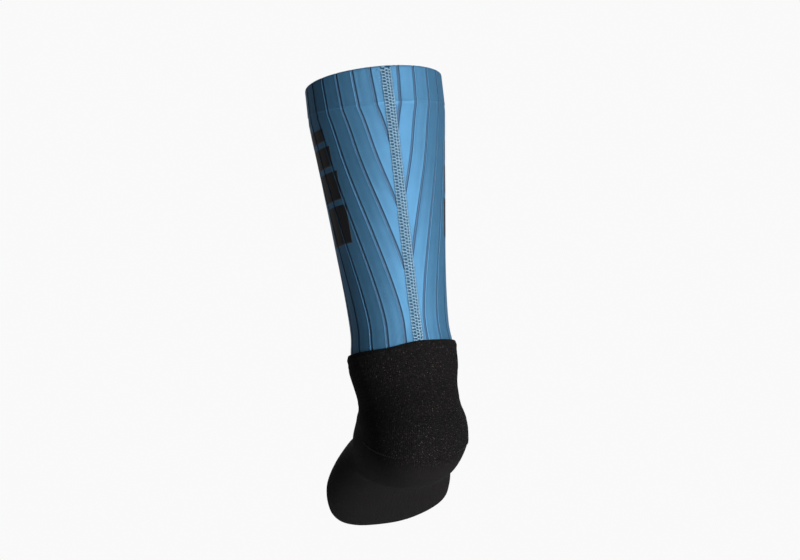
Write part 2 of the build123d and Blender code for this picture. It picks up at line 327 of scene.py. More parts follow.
def rib_places(places, z, girth):
    """Distances from the seam at this height of places measured at the top edge."""
    pull = rib_pull(z, girth) * np.cos(math.pi * np.asarray(places) / CUFF_GIRTH)
    return places - (CUFF_GIRTH - girth) / 2 - pull


def column_arcs(z, girth):
    """Each column's distance from the seam at this height, and its share of the depth."""
    arcs = [(offset % girth, 0.0) for offset in SEAM_COLUMNS]
    places, shares = np.array(FABRIC_COLUMNS).T
    for moved, share in zip(rib_places(places, z, girth), shares):
        clipped = min(max(moved, SEAM_HALF), girth - SEAM_HALF)
        arcs.append((clipped, share if clipped == moved else 0.0))
    return np.array(arcs)


# Relief of the cloth at the turned hem's lower edge, and its slow unevenness.
HEM_LIFT = 0.28               # how far the doubled cloth stands out
HEM_STEP = 1.4                # the height it takes to do so
RIDGE, RIDGE_REACH = 0.16, 0.75
GROOVE, GROOVE_BELOW, GROOVE_REACH = 0.1, 1.8, 0.9
PUCKER = 0.9                  # how much stronger ridge and groove are beside the seam
PUCKER_PLACE, PUCKER_REACH = 9.0, 5.0
UNEVEN = 0.16
UNEVEN_FADE = 6.0             # height over which it fades out above the collar's top
UNEVEN_LOBES = 3              # round the leg
UNEVEN_LENGTHS = (23.0, 31.0)
UNEVEN_SHIFT = 1.3


def upper_lift(arc, girth, z, hem_z):
    """How far the cloth stands out: the doubled hem, its ridge, and gentle unevenness."""
    above = np.clip((z - hem_z + HEM_STEP / 2) / HEM_STEP, 0, 1)
    lift = HEM_LIFT * above * above * (3 - 2 * above)
    pucker = 1 + PUCKER * np.exp(-(((girth - arc - PUCKER_PLACE) / PUCKER_REACH) ** 2))
    lift += RIDGE * pucker * np.exp(-(((z - hem_z) / RIDGE_REACH) ** 2))
    lift -= GROOVE * pucker * np.exp(-(((z - hem_z + GROOVE_BELOW) / GROOVE_REACH) ** 2))
    turn = arc / girth * 2 * math.pi
    uneven = UNEVEN * np.clip((z - COLLAR_TOP_Z) / UNEVEN_FADE, 0, 1)
    round_leg = np.sin(UNEVEN_LOBES * turn + z / UNEVEN_LENGTHS[0])
    return lift + uneven * round_leg * np.sin(z / UNEVEN_LENGTHS[1] + UNEVEN_SHIFT)


def upper_ring(shares, inset, ribbed):
    """One closed ring of the upper. Its height is shares[0] of the way up to the hem line
    plus shares[1] of the way to the rim line, plus shares[2]."""
    hem, rim, level = shares
    seam_z = hem * HEM[1] + rim * RIM[1] + level
    angle, arc, girth = arc_table(seam_z)
    arcs = column_arcs(seam_z, girth)
    place = np.interp(arcs[:, 0], arc, angle)
    x, y = leg_xy(seam_z, place, 0)
    z = hem * slope_z(HEM, y) + rim * slope_z(RIM, y) + level
    move = np.zeros(len(x)) - inset
    if ribbed:
        move = move + upper_lift(arcs[:, 0], girth, z, slope_z(HEM, y))
        move = move - RIB_DEPTH * arcs[:, 1]
    x, y = leg_xy(seam_z, place, -move)
    fabric = np.array([*SEAM_COLUMNS, *(column[0] for column in FABRIC_COLUMNS)]) + UV_START
    return np.stack([x, y, z], 1), arcs[:, 1], fabric


FABRIC_STEP = 1.35            # between rows of the cloth's mesh
HEM_LEVELS = (-0.8, -0.35, 0.0, 0.4, 0.9, 1.6)  # rows close to the hem's lower edge
HEM_SHARES = (0.12, 0.93, 14)  # first and last row from there to the rim, and their count
FOLD_TURNS = 8                # parts of the half turn at the rim
TURNED_ROWS = 8
INSIDE_ROWS = 46
FOLD_GAP = 0.02               # between the cloth and the hem turned in behind it


def upper_outside():
    """Rings of the cloth's outside, from the join up to just below the rim."""
    rings = []
    count = int((CUFF_BOTTOM_Z - UPPER_BOTTOM_Z) / FABRIC_STEP)
    for row in range(count + 1):
        z = UPPER_BOTTOM_Z + (CUFF_BOTTOM_Z - UPPER_BOTTOM_Z) * row / count
        rings.append(upper_ring((0, 0, z), 0, True))
    for level in HEM_LEVELS:
        rings.append(upper_ring((1, 0, level), 0, True))
    for share in np.linspace(*HEM_SHARES):
        rings.append(upper_ring((1 - share, share, 0), 0, True))
    return rings


def upper_fold():
    """Rings of the rolled top edge and of the turned hem inside it."""
    rings = []
    radius = FOLD_INSIDE / 2
    for turn in range(1, FOLD_TURNS):
        angle = math.pi * turn / FOLD_TURNS
        drop = radius * (math.sin(angle) - 1)
        rings.append(upper_ring((0, 1, drop), radius * (1 - math.cos(angle)), True))
    for share in np.linspace(0.9, 0.0, TURNED_ROWS):
        rings.append(upper_ring((1 - share, share, 0), FOLD_INSIDE, False))
    rings.append(upper_ring((1, 0, 0), FOLD_OUTSIDE + FOLD_GAP, False))
    return rings


def upper_inside():
    """Rings of the cloth's inside, from the hem down to the join."""
    heights = np.linspace(CUFF_BOTTOM_Z, UPPER_BOTTOM_Z, INSIDE_ROWS)
    return [upper_ring((0, 0, z), AERO_THICKNESS, False) for z in heights]


def make_upper():
    """The aero fabric: outside, rolled top edge, turned hem and inside, as one closed skin."""
    rings = upper_outside() + upper_fold() + upper_inside()
    columns = len(rings[0][0])
    points = np.concatenate([ring[0] for ring in rings])
    shares = np.concatenate([ring[1] for ring in rings])
    across = np.concatenate([ring[2] for ring in rings])
    faces = grid_faces(len(rings), columns, True, True)
    uvs = grid_uvs(faces, across, points[:, 2], columns, CUFF_GIRTH)
    upper = mesh_object("aero_upper", points, faces, uvs)
    vertex_values(upper, "channel", np.clip(shares, 0, 1))
    tidy_mesh(upper)
    return upper


# ---- Places on the outside of the leg ----
def leg_point(z, from_seam, lift):
    """A point on the leg, from_seam mm round from the seam, and lift mm off it."""
    angle, arc, girth = arc_table(z)
    place = np.interp(from_seam % girth, arc, angle)
    x, y = leg_xy(z, place, -lift)
    return np.array([x, y, z])


def rib_share(from_seam, z, girth):
    """Share of the rib depth at distances from the seam."""
    rough = from_seam + (CUFF_GIRTH - girth) / 2
    pull = rib_pull(z, girth) * np.cos(math.pi * rough / CUFF_GIRTH)
    place = rough + pull - FIRST_RIB
    nearest = place - np.round(place / RIB_PITCH) * RIB_PITCH
    offsets, shares = zip(*RIB_PROFILE)
    return np.interp(nearest, offsets, shares)


BAR_COLUMNS = 90
BAR_STEP = 1.1                # between rows of a bar's mesh
BAR_LIFTED = 0.06             # how far its outside stands off the cloth
BAR_SUNK = -0.12              # and where its inside lies


def marked_patch(name, high_z, low_z, start, end):
    """A thin printed bar that follows the ribs, between two heights and two angles."""
    rows = max(3, int((high_z - low_z) / BAR_STEP))
    points = []
    for z in np.linspace(high_z, low_z, rows):
        angle, arc, girth = arc_table(z)
        turn = np.radians(np.linspace(start, end, BAR_COLUMNS))
        around = angle[0] + (turn - angle[0]) % (2 * math.pi)
        from_seam = np.interp(around, angle, arc)
        x, y = leg_xy(z, around, 0)
        lift = upper_lift(from_seam, girth, z, slope_z(HEM, y))
        lift = lift - RIB_DEPTH * rib_share(from_seam, z, girth)
        for extra, order in ((BAR_LIFTED, 1), (BAR_SUNK, -1)):
            px, py = leg_xy(z, around, -(lift + extra))
            points.extend(np.stack([px, py, np.full(BAR_COLUMNS, z)], 1)[::order])
    ring = 2 * BAR_COLUMNS
    faces = grid_faces(rows, ring, False, True)
    for base in (0, (rows - 1) * ring):
        for column in range(BAR_COLUMNS - 1):
            far = base + ring - 1 - column
            faces.append((base + column, base + column + 1, far - 1, far))
    bar = mesh_object(name, points, faces)
    tidy_mesh(bar)
    return bar


PRINT_SPAN = 34.0             # degrees round the leg that each bar covers
PRINT_ENDS = {1: 26.0, -1: 12.0}  # degrees from the side to the first bar's rear end
PRINT_DRIFT = 4.0             # degrees that each bar lies further back than the last
PRINT_TOP_Z = -30.0
PRINT_BAR_HEIGHTS = (9.0, 14.0, 20.0, 27.0)
PRINT_BAR_GAP = 4.0


def make_print(side):
    """The column of plain bars on one side, side is +1 on the inner side of the leg."""
    label = "medial" if side > 0 else "lateral"
    bars, top = [], PRINT_TOP_Z
    for number, height in enumerate(PRINT_BAR_HEIGHTS):
        far = PRINT_ENDS[side] + number * PRINT_DRIFT
        start = 360 - far if side > 0 else 180 + far - PRINT_SPAN
        name = f"print_{label}_{number + 1}"
        bars.append(marked_patch(name, top, top - height, start, start + PRINT_SPAN))
        top -= height + PRINT_BAR_GAP
    return bars


# ---- The back seam ----
STITCH_PITCH = 2.2
NEEDLE_ROWS = (3.25, 0.6, -1.4, -3.2)
SEAM_TOP_Z = 4.9
SEAM_BOTTOM_Z = -188.2
THREAD_TAPER = 0.55           # width of a thread's ends
NEEDLE_RADIUS, COVER_RADIUS, FINE_RADIUS, LOOPER_RADIUS = 0.4, 0.42, 0.2, 0.26
THREAD_SIDES, FINE_SIDES, LOOPER_SIDES = 7, 6, 5
NEEDLE_LENGTH = 1.9
COVER_LENGTH = 0.8
COVER_STARTS = (0.9, 1.9, 1.3)  # above each stitch's foot, from the first row to the last
PRICK_LINES = ((5.2, -12.0, 1.0), (-7.3, -5.0, 0.0))  # distance from the seam, lowest, highest
TAIL = ((1.2, 3.5, 0.3), (2.2, 4.1, 0.7), (3.0, 5.0, 0.8), (2.6, 5.8, 0.7), (1.6, 5.6, 0.5))
LOOPER_BOTTOM_Z = -186.0
LOOPER_HALF = 3.3             # half width of the zigzag
LOOPER_STEP = 2.2             # across, between points of its thread
LOOPER_STANDS = 0.25          # how far in from the cloth's inside it lies


def seam_lift(z):
    """How far the cloth stands out along the seam."""
    girth = arc_table(z)[2]
    return float(upper_lift(0.0, girth, z, HEM[1]))


def thread(places, radius, sides, points, faces):
    """A thread through (height, distance from the seam, lift) places."""
    path = [leg_point(z, across, lift + seam_lift(z)) for z, across, lift in places]
    tube(path, radius, sides, points, faces, THREAD_TAPER)


def seam_stitches():
    """Heights of the stitches."""
    return np.arange(SEAM_BOTTOM_Z, SEAM_TOP_Z - STITCH_PITCH / 2, STITCH_PITCH)


def make_needle_threads():
    """Four rows of arched stitches."""
    points, faces = [], []
    for number, z in enumerate(seam_stitches()):
        for row, across in enumerate(NEEDLE_ROWS):
            wobble = 0.12 * math.sin(number * 2.3 + row * 1.7)
            low = z + (STITCH_PITCH / 2 if row % 2 else 0.0)
            if low + NEEDLE_LENGTH > SEAM_TOP_Z:
                continue
            places = (
                (low, across - 0.25, 0.1),
                (low + 0.35, across - 0.12 + wobble, 0.4),
                (low + 0.95, across + wobble, 0.52),
                (low + 1.55, across + 0.15, 0.36),
                (low + NEEDLE_LENGTH, across + 0.25, 0.1),
            )
            thread(places, NEEDLE_RADIUS, THREAD_SIDES, points, faces)
    return mesh_object("seam_needle_threads", points, faces)


def make_cover_threads():
    """Sagging threads from row to row, with a small opening between each and the next."""
    points, faces = [], []
    for number, z in enumerate(seam_stitches()):
        for row in range(len(NEEDLE_ROWS) - 1):
            left, right = NEEDLE_ROWS[row], NEEDLE_ROWS[row + 1]
            sway = 0.15 * math.sin(number * 1.9 + row * 2.1)
            low = z + COVER_STARTS[row]
            if low + COVER_LENGTH > SEAM_TOP_Z:
                continue
            places = (
                (low + 0.75, left + 0.1, 0.2),
                (low + 0.15 + sway, left * 0.65 + right * 0.35, 0.42),
                (low + sway, left * 0.35 + right * 0.65, 0.42),
                (low + 0.45, right - 0.1, 0.2),
            )
            thread(places, COVER_RADIUS, THREAD_SIDES, points, faces)
    return mesh_object("seam_cover_threads", points, faces)


def make_prick_stitches():
    """Tiny stitches beside the seam where the turned hem is caught down."""
    points, faces = [], []
    for across, low, high in PRICK_LINES:
        for z in np.arange(low, high, STITCH_PITCH):
            places = ((z, across, 0.0), (z + 0.3, across + 0.05, 0.14), (z + 0.6, across, 0.0))
            thread(places, FINE_RADIUS, FINE_SIDES, points, faces)
    return mesh_object("hem_prick_stitches", points, faces)


def make_thread_tail():
    """The short cut end of the seam's thread at the top edge."""
    points, faces = [], []
    thread(TAIL, FINE_RADIUS, FINE_SIDES, points, faces)
    return mesh_object("seam_thread_tail", points, faces)


def make_looper_threads():
    """The flat zigzag of thread on the inside of the seam."""
    points, faces = [], []
    inside = -AERO_THICKNESS - LOOPER_STANDS
    rise = STITCH_PITCH / 2
    for z in np.arange(LOOPER_BOTTOM_Z, CUFF_BOTTOM_Z - 2, STITCH_PITCH):
        out = [(z + rise * k / 3, LOOPER_HALF - LOOPER_STEP * k) for k in range(4)]
        back = [(z + rise + rise * k / 3, -LOOPER_HALF + LOOPER_STEP * k) for k in range(4)]
        for line in (out, back):
            path = [leg_point(height, across, inside) for height, across in line]
            tube(path, LOOPER_RADIUS, LOOPER_SIDES, points, faces)
    return mesh_object("seam_looper_threads", points, faces)


# ---- The silicone grip inside the hem ----
GRIP_THICKNESS = 0.5
GRIP_RADIUS = CUFF_RADIUS - FOLD_INSIDE - GRIP_THICKNESS
GRIP_WAVES = (-1.8, -4.2, -6.6, -9.0, -10.6)
GRIP_LOBES = 28               # waves in each bead, round the opening
GRIP_SWING = 0.55             # how far they go up and down
GRIP_BEAD = 0.38              # radius of a bead
GRIP_PROUD = 0.05             # how far in from the band's face a bead's middle lies
GRIP_STEPS = 420
GRIP_SIDES = 6


def make_gripper_waves():
    """Raised wavy beads of silicone round the inside of the opening."""
    points, faces = [], []
    bead = grid_faces(GRIP_STEPS, GRIP_SIDES, True, True)
    for number, z in enumerate(GRIP_WAVES):
        base = len(points)
        for step in range(GRIP_STEPS):
            angle = 2 * math.pi * step / GRIP_STEPS
            height = z + GRIP_SWING * math.sin(GRIP_LOBES * angle + number * math.pi)
            for side in range(GRIP_SIDES):
                turn = 2 * math.pi * side / GRIP_SIDES
                reach = GRIP_RADIUS - GRIP_PROUD + GRIP_BEAD * math.cos(turn)
                points.append((
                    reach * math.cos(angle),
                    reach * math.sin(angle),
                    height + GRIP_BEAD * math.sin(turn),
                ))
        faces.extend(tuple(base + corner for corner in face) for face in bead)
    waves = mesh_object("gripper_waves", points, faces)
    tidy_mesh(waves)
    return waves


# ---- The knitted foot ----
def foot_spans():
    """How many mesh rows each span between two foot sections gets."""
    table = np.array(FOOT, float)
    front = np.hypot(*np.diff(table[:, 0:2], axis=0).T)
    back = np.hypot(*np.diff(table[:, 2:4], axis=0).T)
    return [max(4, int(step)) for step in (front + 2 * back) / 3 / KNIT_STEP]


FOOT_SPANS = foot_spans()
FOOT_ROWS = smooth_rows(FOOT, FOOT_SPANS)
FOOT_PLACES = np.concatenate(
    [np.arange(count) / count + index for index, count in enumerate(FOOT_SPANS)]
    + [[len(FOOT) - 1.0]]
)


def foot_ring(row, angle, inset):
    """Points of one section of the foot at angles, moved inwards by inset."""
    front = np.array([0, row[0], row[1]])
    back = np.array([0, row[2], row[3]])
    rise = (front - back) / 2
    length = np.linalg.norm(rise)
    power = 2 / row[6]
    across = np.sign(np.cos(angle)) * np.abs(np.cos(angle)) ** power
    along = np.sign(np.sin(angle)) * np.abs(np.sin(angle)) ** power
    x = row[5] + (row[4] - inset) * across * (1 - row[7] * along)
    middle = (front + back) / 2
    points = middle + np.outer(along * (length - inset) / length, rise)
    points[:, 0] += x
    return points


TOE_TURNS = (18, 36, 52, 66, 78, 86)  # degrees round the toe's rounded end, row by row
TOE_REACH = 3.4
TOE_DROP = 0.12               # how much of that reach is downwards


def knit_outside(angle):
    """The outside rows of the foot, with a rounded toe, and each row's place."""
    rows = [foot_ring(row, angle, 0) for row in FOOT_ROWS]
    places = list(FOOT_PLACES)
    last = rows[-1]
    middle = last.mean(0)
    for turn in TOE_TURNS:
        size = math.cos(math.radians(turn))
        reach = TOE_REACH * math.sin(math.radians(turn))
        moved = np.array([0, -reach, -TOE_DROP * reach])
        rows.append(middle + (last - middle) * size + moved)
        places.append(len(FOOT) - 1.0 + turn / 1000)
    return np.array(rows), np.array(places)


def outward(rows):
    """Unit directions out of the surface at each point of a grid of rings."""
    round_it = np.roll(rows, -1, 1) - np.roll(rows, 1, 1)
    along = np.gradient(rows, axis=0)
    out = np.cross(along, round_it)
    out /= np.maximum(np.linalg.norm(out, axis=2, keepdims=True), TINY)
    centre = rows.mean(1, keepdims=True)
    if (out * (rows - centre)).sum() < 0:
        out = -out
    return out


def eased(value, low, high):
    """0 below low, 1 above high, smooth between."""
    t = np.clip((value - low) / (high - low), 0, 1)
    return t * t * (3 - 2 * t)


# Places along FOOT between which the terry gives way to smooth knit.
TERRY_END_FRONT = (3.2, 4.6)
TERRY_END_REAR = (6.0, 6.9)


def terry_mask(places, angle):
    """Where the knit is looped terry: the collar, the ankle and the heel's back."""
    rear = eased(-np.sin(angle), -0.25, 0.25)[None, :]
    place = places[:, None]
    front_share = 1 - eased(place, *TERRY_END_FRONT)
    rear_share = 1 - eased(place, *TERRY_END_REAR)
    return front_share * (1 - rear) + rear_share * rear


LUMP_SIZE = 1.9
SLOW_SIZE = 17.0
SLOW_HEIGHT = 0.35


def knit_relief(rows, mask):
    """Small lumps of the terry and slow unevenness of the whole knit."""
    flat = rows.reshape(-1, 3)
    lumps = np.empty(len(flat))
    slow = np.empty(len(flat))
    for index, point in enumerate(flat.tolist()):
        place = Vector(point)
        lumps[index] = noise.noise(place / LUMP_SIZE)
        slow[index] = noise.noise(place / SLOW_SIZE)
    lumps = lumps.reshape(mask.shape)
    slow = slow.reshape(mask.shape)
    fine = TERRY_HEIGHT * lumps * (0.25 + 0.75 * mask)
    return fine + SLOW_HEIGHT * slow * (0.4 + 0.6 * mask)


EDGE_START_Z = -191.5         # where the knit starts to thin towards its top edge
EDGE_THINNED = 0.35
EDGE_SMOOTHED = 0.6           # share of its relief that it loses there
BULGE, BULGE_Z, BULGE_REACH = 0.5, -190.6, 1.8
RISE_END_Z = -204.0           # where the collar's higher side meets the even part
EDGE_TURNS = (165, 150, 130, 110, 90, 70, 50, 30, 12)  # degrees round the rolled edge
EDGE_FLATNESS = 0.9           # height of its rounding against half its thickness
INSIDE_STEP = 6               # outside rows to each inside one
INSIDE_SHORT = 3              # the inside's last row, counted back from the end of FOOT_ROWS
TOE_INSIDE = ((0.5, 0.8), (0.02, 1.0))  # size and reach of the rows that close it
KNIT_UV_RADIUS = 36.0         # about the foot's mean radius, for the width of its UVs


def shaped_knit(outside, out, mask):
    """The outside with its relief, thinner at the edge, and higher at the outer rear."""
    height = outside[:, :, 2]
    edge = eased(height, EDGE_START_Z, COLLAR_TOP_Z)
    bulge = BULGE * np.exp(-(((height - BULGE_Z) / BULGE_REACH) ** 2))
    relief = knit_relief(outside, mask) * (1 - EDGE_SMOOTHED * edge)
    shaped = outside + out * (relief + bulge - EDGE_THINNED * edge)[:, :, None]
    outer_side = eased(-outside[:, :, 0], -20, 8)
    rear = eased(outside[:, :, 1], -30, 5)
    raised = COLLAR_RISE * outer_side * rear
    shaped[:, :, 2] += raised * eased(height, RISE_END_Z, COLLAR_TOP_Z)
    return shaped


def rolled_edge(first, first_out):
    """Rings that turn the knit's top edge inwards."""
    half = COLLAR_EDGE / 2
    middle = first - first_out * half
    rings = []
    for turn in EDGE_TURNS:
        bend = math.radians(turn)
        ring = middle + first_out * half * math.cos(bend)
        ring[:, 2] = first[:, 2] + EDGE_FLATNESS * half * math.sin(bend)
        rings.append(ring)
    return rings


def knit_inside(angle):
    """Rings of the foot's inside, from the top down to its closed end at the toes."""
    last = len(FOOT_ROWS) - INSIDE_SHORT
    chosen = [*range(0, last, INSIDE_STEP), last]
    rings = [foot_ring(FOOT_ROWS[row], angle, KNIT_THICKNESS) for row in chosen]
    tip = rings[-1]
    middle = tip.mean(0)
    for size, reach in TOE_INSIDE:
        rings.append(middle + (tip - middle) * size + np.array([0, -reach, 0]))
    return rings


def make_knit():
    """The knitted collar, ankle and foot as one closed skin."""
    angle = np.linspace(0, 2 * math.pi, KNIT_COLUMNS, endpoint=False)
    outside, places = knit_outside(angle)
    out = outward(outside)
    mask = terry_mask(places, angle)
    shaped = shaped_knit(outside, out, mask)
    rolled = rolled_edge(shaped[0], out[0])
    inside = knit_inside(angle)
    rings = [*inside[::-1], *rolled, *shaped]
    lengths = [0.0]
    for before, after in zip(rings, rings[1:]):
        lengths.append(lengths[-1] + float(np.linalg.norm(after - before, axis=1).mean()))
    hidden = np.ones((len(inside) + len(rolled), KNIT_COLUMNS)) * mask[0]
    masks = np.concatenate([hidden, mask])
    points = np.concatenate(rings)
    across = np.tile(angle * KNIT_UV_RADIUS, len(rings))
    along = np.repeat(lengths, KNIT_COLUMNS)
    faces = grid_faces(len(rings), KNIT_COLUMNS, False, True)
    girth = 2 * math.pi * KNIT_UV_RADIUS
    uvs = grid_uvs(faces, across, along, KNIT_COLUMNS, girth)
    last = (len(rings) - 1) * KNIT_COLUMNS
    inner_cap = tuple(range(KNIT_COLUMNS))
    outer_cap = tuple(last + k for k in range(KNIT_COLUMNS))[::-1]
    for cap in (inner_cap, outer_cap):
        faces.append(cap)
        uvs.extend((across[k] / UV_UNIT, along[k] / UV_UNIT) for k in cap)
    knit = mesh_object("knit_foot", points, faces, uvs)
    vertex_values(knit, "terry", masks)
    tidy_mesh(knit)
    return knit


def foot_row_at(place):
    """The numbers of the foot's section at a place along FOOT."""
    columns = FOOT_ROWS.T
    return np.array([np.interp(place, FOOT_PLACES, columns[k]) for k in range(FOOT_VALUES)])


LINK_SAMPLES = 400
LINK_PITCH = 1.9
LINK_FILL = 0.9               # how much of its pitch each loop takes up
LINK_SPREAD = 0.6             # how far it reaches to either side of the line
LINK_RADIUS, LINK_SIDES, LINK_TAPER = 0.3, 6, 0.6
LINK_AHEAD = 0.02             # step along FOOT that gives the direction across the line
LINK_LOOP = (                 # share of the length, of the spread, and lift off the knit
    (0, -1, 0.1), (0.3, -0.3, 0.45), (0.7, 0.5, 0.45), (1.0, 1, 0.1),
)


def make_link_line(name, place, start, end):
    """A row of small linked loops across the foot, at one section between two angles."""
    row = foot_row_at(place)
    turns = np.radians(np.linspace(start, end, LINK_SAMPLES))
    line = foot_ring(row, turns, 0)
    middle = line.mean(0)
    steps = np.linalg.norm(np.diff(line, axis=0), axis=1)
    length = np.concatenate([[0], np.cumsum(steps)])
    ahead = foot_ring(foot_row_at(place + LINK_AHEAD), turns, 0)
    points, faces = [], []
    for at in np.arange(0, length[-1] - LINK_PITCH, LINK_PITCH):
        spots = []
        for share, side, lift in LINK_LOOP:
            k = int(np.searchsorted(length, at + LINK_PITCH * share * LINK_FILL))
            forward = unit(ahead[k] - line[k])
            out = unit(line[k] - middle)
            spots.append(line[k] + forward * side * LINK_SPREAD + out * lift)
        tube(spots, LINK_RADIUS, LINK_SIDES, points, faces, LINK_TAPER)
    return mesh_object(name, points, faces)


# ---- Materials ----
def linear(*srgb):
    """A colour given as 0-255 sRGB values, as the shader wants it."""
    return [((c / 255 + 0.055) / 1.055) ** 2.4 if c > 10 else c / 3294.6 for c in srgb]


def new_material(name, colour, **sockets):
    """A Principled material with constants on its own sockets; returns it and its nodes."""
    material = bpy.data.materials.new(name)
    material.use_nodes = True
    shader = material.node_tree.nodes["Principled BSDF"]
    shader.inputs["Base Color"].default_value = (*colour, 1)
    for socket, value in sockets.items():
        shader.inputs[socket.replace("_", " ")].default_value = value
    return material, material.node_tree, shader


def add_node(tree, kind, inputs, **settings):
    """A node with its settings, and its inputs linked or set."""
    made = tree.nodes.new("ShaderNode" + kind)
    for name, value in settings.items():
        setattr(made, name, value)
    for socket, value in inputs.items():
        if isinstance(value, bpy.types.NodeSocket):
            tree.links.new(value, made.inputs[socket])
        else:
            made.inputs[socket].default_value = value
    return made


def maths(tree, operation, first, second=0.0):
    """One arithmetic step."""
    made = add_node(tree, "Math", {0: first, 1: second}, operation=operation)
    return made.outputs[0]


def mixed(tree, share, first, second):
    """Two colours mixed by a share."""
    made = add_node(tree, "Mix", {0: share, 6: first, 7: second}, data_type="RGBA")
    return made.outputs[2]


def stepped(tree, value, low, high):
    """0 below low and 1 above high, smooth between."""
    inputs = {"Value": value, "From Min": low, "From Max": high}
    made = add_node(tree, "MapRange", inputs, interpolation_type="SMOOTHSTEP")
    return made.outputs[0]


def cloth_place(tree):
    """The place on the cloth in mm, then its distances round and along the cloth."""
    uv = add_node(tree, "UVMap", {}, uv_map="Cloth")
    inputs = {0: uv.outputs[0], 1: (UV_UNIT, UV_UNIT, UV_UNIT)}
    scaled = add_node(tree, "VectorMath", inputs, operation="MULTIPLY")
    parts = add_node(tree, "SeparateXYZ", {0: scaled.outputs[0]})
    return scaled.outputs[0], parts.outputs[0], parts.outputs[1]


def wave(tree, place, pitch):
    """A wave from -1 to 1 with this pitch in mm."""
    return maths(tree, "SINE", maths(tree, "MULTIPLY", place, 2 * math.pi / pitch))


def noise_at(tree, place, scale, detail=2.0, roughness=0.5):
    """Soft noise, from 0 to 1."""
    inputs = {"Vector": place, "Scale": scale, "Detail": detail, "Roughness": roughness}
    return add_node(tree, "TexNoise", inputs).outputs[0]


def bumped(tree, shader, height, depth_mm):
    """Gives the surface a fine relief."""
    inputs = {"Height": height, "Distance": depth_mm * MM, "Strength": 1.0}
    relief = add_node(tree, "Bump", inputs)
    tree.links.new(relief.outputs[0], shader.inputs["Normal"])


AERO_BLUE = linear(70, 119, 154)
AERO_BLUE_DEEP = linear(66, 114, 148)
CHANNEL_GREY = linear(88, 108, 132)
CHANNEL_BLUE = linear(46, 84, 116)
# Painted shade: the sloping walls of each channel are coloured dark, as the shade that falls
# in them.
CHANNEL_WALL_SHADE = linear(28, 60, 86)
# Painted shade: the cloth under and between the seam's threads is coloured dark, as the shade
# among them.
SEAM_BED_SHADE = linear(28, 66, 90)
THREAD_GREY = linear(102, 140, 164)
THREAD_PALE = linear(160, 184, 200)
KNIT_BLACK = linear(20, 19, 20)
SMOOTH_BLACK = linear(24, 22, 23)
INK_BLACK = linear(16, 17, 20)
LINT = linear(112, 100, 94)
LINT_SHARE = 0.24             # how much of its colour a fleck of lint shows
TERRY_DARK = linear(5, 5, 5)
TERRY_PALE = linear(21, 19, 20)
AERO_WALES, AERO_COURSES, LADDER_RUNGS = 0.85, 0.7, 1.25  # pitches of the aero fabric
KNIT_WALES, KNIT_COURSES = 1.35, 1.0  # pitches of the black knit
BED_SHADE_EDGE = (3.4, 3.9)         # from the seam's middle, where the painted shade on its bed fades out


def aero_material():
    """Ribbed aero fabric: fine blue knit, with a grey ladder mesh down each channel and
    painted shade on the channels' walls.
    """
    material, tree, shader = new_material(
        "aero_fabric", AERO_BLUE, Roughness=0.5, Metallic=0.55, Specular_IOR_Level=0.3)
    place, across, along = cloth_place(tree)
    channel = add_node(tree, "Attribute", {}, attribute_name="channel").outputs["Fac"]
    wales = wave(tree, across, AERO_WALES)
    swayed = maths(tree, "ADD", along, maths(tree, "MULTIPLY", wales, 0.12))
    courses = wave(tree, swayed, AERO_COURSES)
    knit = maths(tree, "MULTIPLY", maths(tree, "ADD", wales, courses), 0.25)
    cloud = noise_at(tree, place, 0.09, 3.0)
    blue = mixed(tree, stepped(tree, cloud, 0.2, 0.8), AERO_BLUE + [1], AERO_BLUE_DEEP + [1])
    slant = maths(tree, "ADD", along, maths(tree, "MULTIPLY", across, 0.8))
    rungs = stepped(tree, wave(tree, slant, LADDER_RUNGS), -0.2, 0.5)
    ladder = mixed(tree, rungs, CHANNEL_BLUE + [1], CHANNEL_GREY + [1])
    # painted shade: where the channel's wall slopes, the colour turns dark as shade in the
    # recess
    ladder = mixed(tree, stepped(tree, channel, 0.8, 0.88), CHANNEL_WALL_SHADE + [1], ladder)
    inside = stepped(tree, channel, 0.15, 0.4)
    cloth = mixed(tree, inside, blue, ladder)
    # painted shade under the seam's threads, at both ends of the cloth's UVs
    seam_again = UV_START + CUFF_GIRTH
    after = stepped(tree, across, UV_START + BED_SHADE_EDGE[1], UV_START + BED_SHADE_EDGE[0])
    before = stepped(tree, across, seam_again - BED_SHADE_EDGE[1], seam_again - BED_SHADE_EDGE[0])
    bed_shade = maths(tree, "ADD", after, before)
    tree.links.new(mixed(tree, bed_shade, cloth, SEAM_BED_SHADE + [1]), shader.inputs["Base Color"])
    relief = maths(tree, "ADD", knit, maths(tree, "MULTIPLY", inside, rungs))
    bumped(tree, shader, relief, 0.12)
    return material


def thread_material(name, colour, pale):
    """Multi-strand thread."""
    material, tree, shader = new_material(
        name, colour, Roughness=0.75, Specular_IOR_Level=0.3)
    place = add_node(tree, "TexCoord", {}).outputs["Object"]
    strands = noise_at(tree, place, 1600.0, 2.0)
    tint = mixed(tree, stepped(tree, strands, 0.4, 0.7), list(colour) + [1], pale + [1])
    tree.links.new(tint, shader.inputs["Base Color"])
    bumped(tree, shader, strands, 0.15)
    return material


def ink_material():
    """Matt rubbery ink."""
    material, tree, shader = new_material("print_ink", INK_BLACK, Roughness=0.5)
    place = add_node(tree, "TexCoord", {}).outputs["Object"]
    bumped(tree, shader, noise_at(tree, place, 900.0), 0.08)
    return material


def plain_material(name, colour, roughness, **sockets):
    """A material the same all over but for a faint grain."""
    material, tree, shader = new_material(name, colour, Roughness=roughness, **sockets)
    place = add_node(tree, "TexCoord", {}).outputs["Object"]
    bumped(tree, shader, noise_at(tree, place, 500.0), 0.05)
    return material


